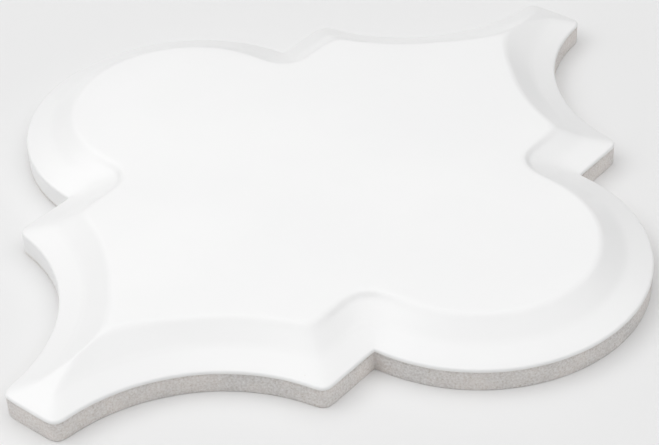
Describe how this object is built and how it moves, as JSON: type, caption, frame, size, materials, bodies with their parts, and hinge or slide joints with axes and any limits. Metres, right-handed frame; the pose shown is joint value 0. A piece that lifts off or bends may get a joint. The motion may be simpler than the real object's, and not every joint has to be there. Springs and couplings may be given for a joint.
{
  "type": "arabesque wall tile",
  "caption": "White glazed arabesque wall tile with a bevelled rim, round side lobes, flat-cut tips and bays that nest with its neighbours, and a keyed back to bond.",
  "frame": {"origin": "middle of the back face, which lies on the floor", "axes": "+Y along the tip-to-tip length, +X from lobe to lobe, +Z out of the glazed face"},
  "size_m": [0.129, 0.15, 0.0087],
  "materials": {
    "glazed_body": "smooth white glaze on the face and down the walls of one side, bare pale biscuit on the other walls and the back"
  },
  "bodies": {
    "root": {"arabesque_tile": "glazed_body"}
  },
  "joints": []
}
